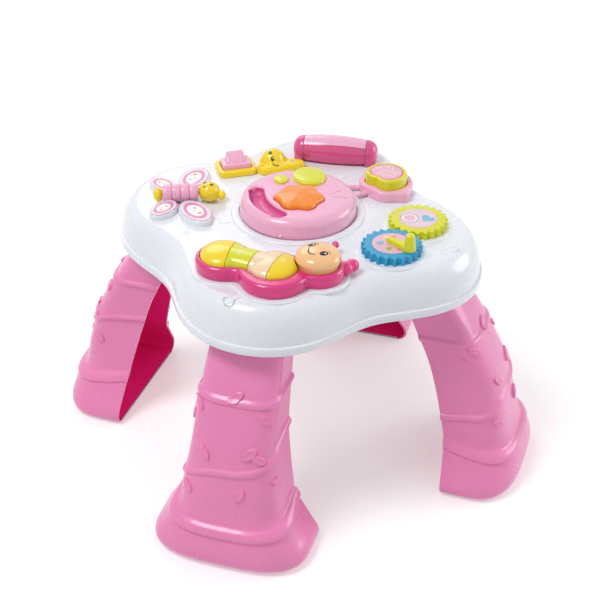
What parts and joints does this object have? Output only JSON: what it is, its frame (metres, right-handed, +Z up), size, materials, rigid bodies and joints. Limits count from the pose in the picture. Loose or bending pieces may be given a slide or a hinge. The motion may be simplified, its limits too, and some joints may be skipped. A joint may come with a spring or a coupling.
{
  "type": "baby activity table",
  "caption": "Low four-lobed baby activity table on wide pink legs, with piano keys, a lidded mirror, meshing gears, a bead barrel and push buttons.",
  "frame": {"origin": "on the floor under the middle of the table, at the centre of the feet", "axes": "+Z up, -Y towards the side with the worm and the turquoise gear, +X towards the apple"},
  "size_m": [0.487, 0.4934, 0.3286],
  "materials": {
    "white_plastic": "satin",
    "pink_plastic": "satin",
    "magenta_plastic": "satin",
    "lime_plastic": "satin",
    "yellow_plastic": "satin",
    "orange_plastic": "satin",
    "peach_plastic": "satin",
    "turquoise_plastic": "satin",
    "window_plastic": "clear tinted",
    "glitter_insert": "glitter",
    "mirror": "polished",
    "steel": "plain",
    "green_board": "matte",
    "black_part": "matte",
    "silicone": "matte"
  },
  "bodies": {
    "table": {"top_shell": "white_plastic", "base_cover": "white_plastic", "battery_door": "white_plastic", "battery_cell_1": "black_part", "battery_cell_2": "black_part", "battery_cell_3": "black_part", "main_board": "green_board", "speaker": "black_part", "leg_front": "pink_plastic", "leg_left": "pink_plastic", "leg_rear": "pink_plastic", "leg_right": "pink_plastic", "leg_screw_front": "steel", "leg_screw_left": "steel", "leg_screw_rear": "steel", "leg_screw_right": "steel", "cover_screw_1": "steel", "cover_screw_2": "steel", "cover_screw_3": "steel", "cover_screw_4": "steel", "lid_pin": "steel", "lid_mirror": "mirror", "worm_base": "magenta_plastic", "key_board": "green_board", "key_mat": "silicone", "roller_axle": "steel", "butterfly_head": "yellow_plastic", "butterfly_tail": "yellow_plastic", "switch_tray": "yellow_plastic", "block_dome": "silicone", "giraffe": "yellow_plastic", "barrel_cap_left": "magenta_plastic", "barrel_cap_right": "magenta_plastic", "apple_base": "pink_plastic", "apple_dome": "silicone", "gear_turquoise_cap": "white_plastic", "gear_lime_cap": "white_plastic"},
    "power_switch": {"power_switch": "black_part"},
    "lid": {"lid": "pink_plastic", "large_leaf": "lime_plastic", "small_leaf": "lime_plastic", "flower_dome": "silicone"},
    "flower_button": {"flower_button": "orange_plastic"},
    "key_1": {"key_1": "yellow_plastic"},
    "key_2": {"key_2": "lime_plastic"},
    "key_3": {"key_3": "peach_plastic"},
    "key_4": {"key_4": "yellow_plastic"},
    "head_key": {"head_key": "peach_plastic"},
    "roller": {"butterfly_roller": "pink_plastic"},
    "push_block": {"push_block": "pink_plastic"},
    "barrel": {"barrel_panel": "pink_plastic", "barrel_window": "window_plastic", "barrel_bead_1": "yellow_plastic", "barrel_bead_2": "orange_plastic", "barrel_bead_3": "turquoise_plastic"},
    "apple_button": {"apple_button": "lime_plastic", "apple_insert": "glitter_insert"},
    "gear_turquoise": {"gear_turquoise": "turquoise_plastic", "crank_handle": "lime_plastic"},
    "gear_lime": {"gear_lime": "lime_plastic"}
  },
  "joints": [
    {"name": "switch_slide", "type": "slide", "parent": "table", "child": "power_switch", "axis": [1, 0, 0], "range_m": [0, 0.006]},
    {"name": "lid_hinge", "type": "hinge", "parent": "table", "child": "lid", "pos_m": [0.05961, 0.01216, 0.30055], "axis": [-0.1736, 0.9848, 0], "range_deg": [0, 90]},
    {"name": "flower_press", "type": "slide", "parent": "lid", "child": "flower_button", "axis": [0, 0, 1], "range_m": [-0.003, 0], "stiffness_N_per_m": 400, "springref_m": 0.0025, "deforming": ["flower_dome"]},
    {"name": "key_1_press", "type": "slide", "parent": "table", "child": "key_1", "axis": [0, 0, 1], "range_m": [-0.003, 0], "stiffness_N_per_m": 400, "springref_m": 0.0025},
    {"name": "key_2_press", "type": "slide", "parent": "table", "child": "key_2", "axis": [0, 0, 1], "range_m": [-0.003, 0], "stiffness_N_per_m": 400, "springref_m": 0.0025},
    {"name": "key_3_press", "type": "slide", "parent": "table", "child": "key_3", "axis": [0, 0, 1], "range_m": [-0.003, 0], "stiffness_N_per_m": 400, "springref_m": 0.0025},
    {"name": "key_4_press", "type": "slide", "parent": "table", "child": "key_4", "axis": [0, 0, 1], "range_m": [-0.003, 0], "stiffness_N_per_m": 400, "springref_m": 0.0025},
    {"name": "head_key_press", "type": "slide", "parent": "table", "child": "head_key", "axis": [0, 0, 1], "range_m": [-0.003, 0], "stiffness_N_per_m": 400, "springref_m": 0.0025},
    {"name": "roller_spin", "type": "hinge", "parent": "table", "child": "roller", "pos_m": [-0.1076, 0.0856, 0.30375], "axis": [0.9272, -0.3746, 0], "continuous": true},
    {"name": "block_press", "type": "slide", "parent": "table", "child": "push_block", "axis": [0, 0, 1], "range_m": [-0.003, 0], "stiffness_N_per_m": 400, "springref_m": 0.0025, "deforming": ["block_dome"]},
    {"name": "barrel_spin", "type": "hinge", "parent": "table", "child": "barrel", "pos_m": [0.101, 0.097, 0.30555], "axis": [0.7986, -0.6018, 0], "continuous": true},
    {"name": "apple_press", "type": "slide", "parent": "table", "child": "apple_button", "axis": [0, 0, 1], "range_m": [-0.003, 0], "stiffness_N_per_m": 400, "springref_m": 0.0025, "deforming": ["apple_dome"]},
    {"name": "turquoise_spin", "type": "hinge", "parent": "table", "child": "gear_turquoise", "pos_m": [0.052, -0.124, 0.29485], "axis": [0, 0, 1], "continuous": true},
    {"name": "lime_spin", "type": "hinge", "parent": "table", "child": "gear_lime", "pos_m": [0.10577, -0.08948, 0.29485], "axis": [0, 0, 1], "continuous": true}
  ],
  "couplings": [
    {"joint": "lime_spin", "follows": "turquoise_spin", "ratio": -1}
  ]
}
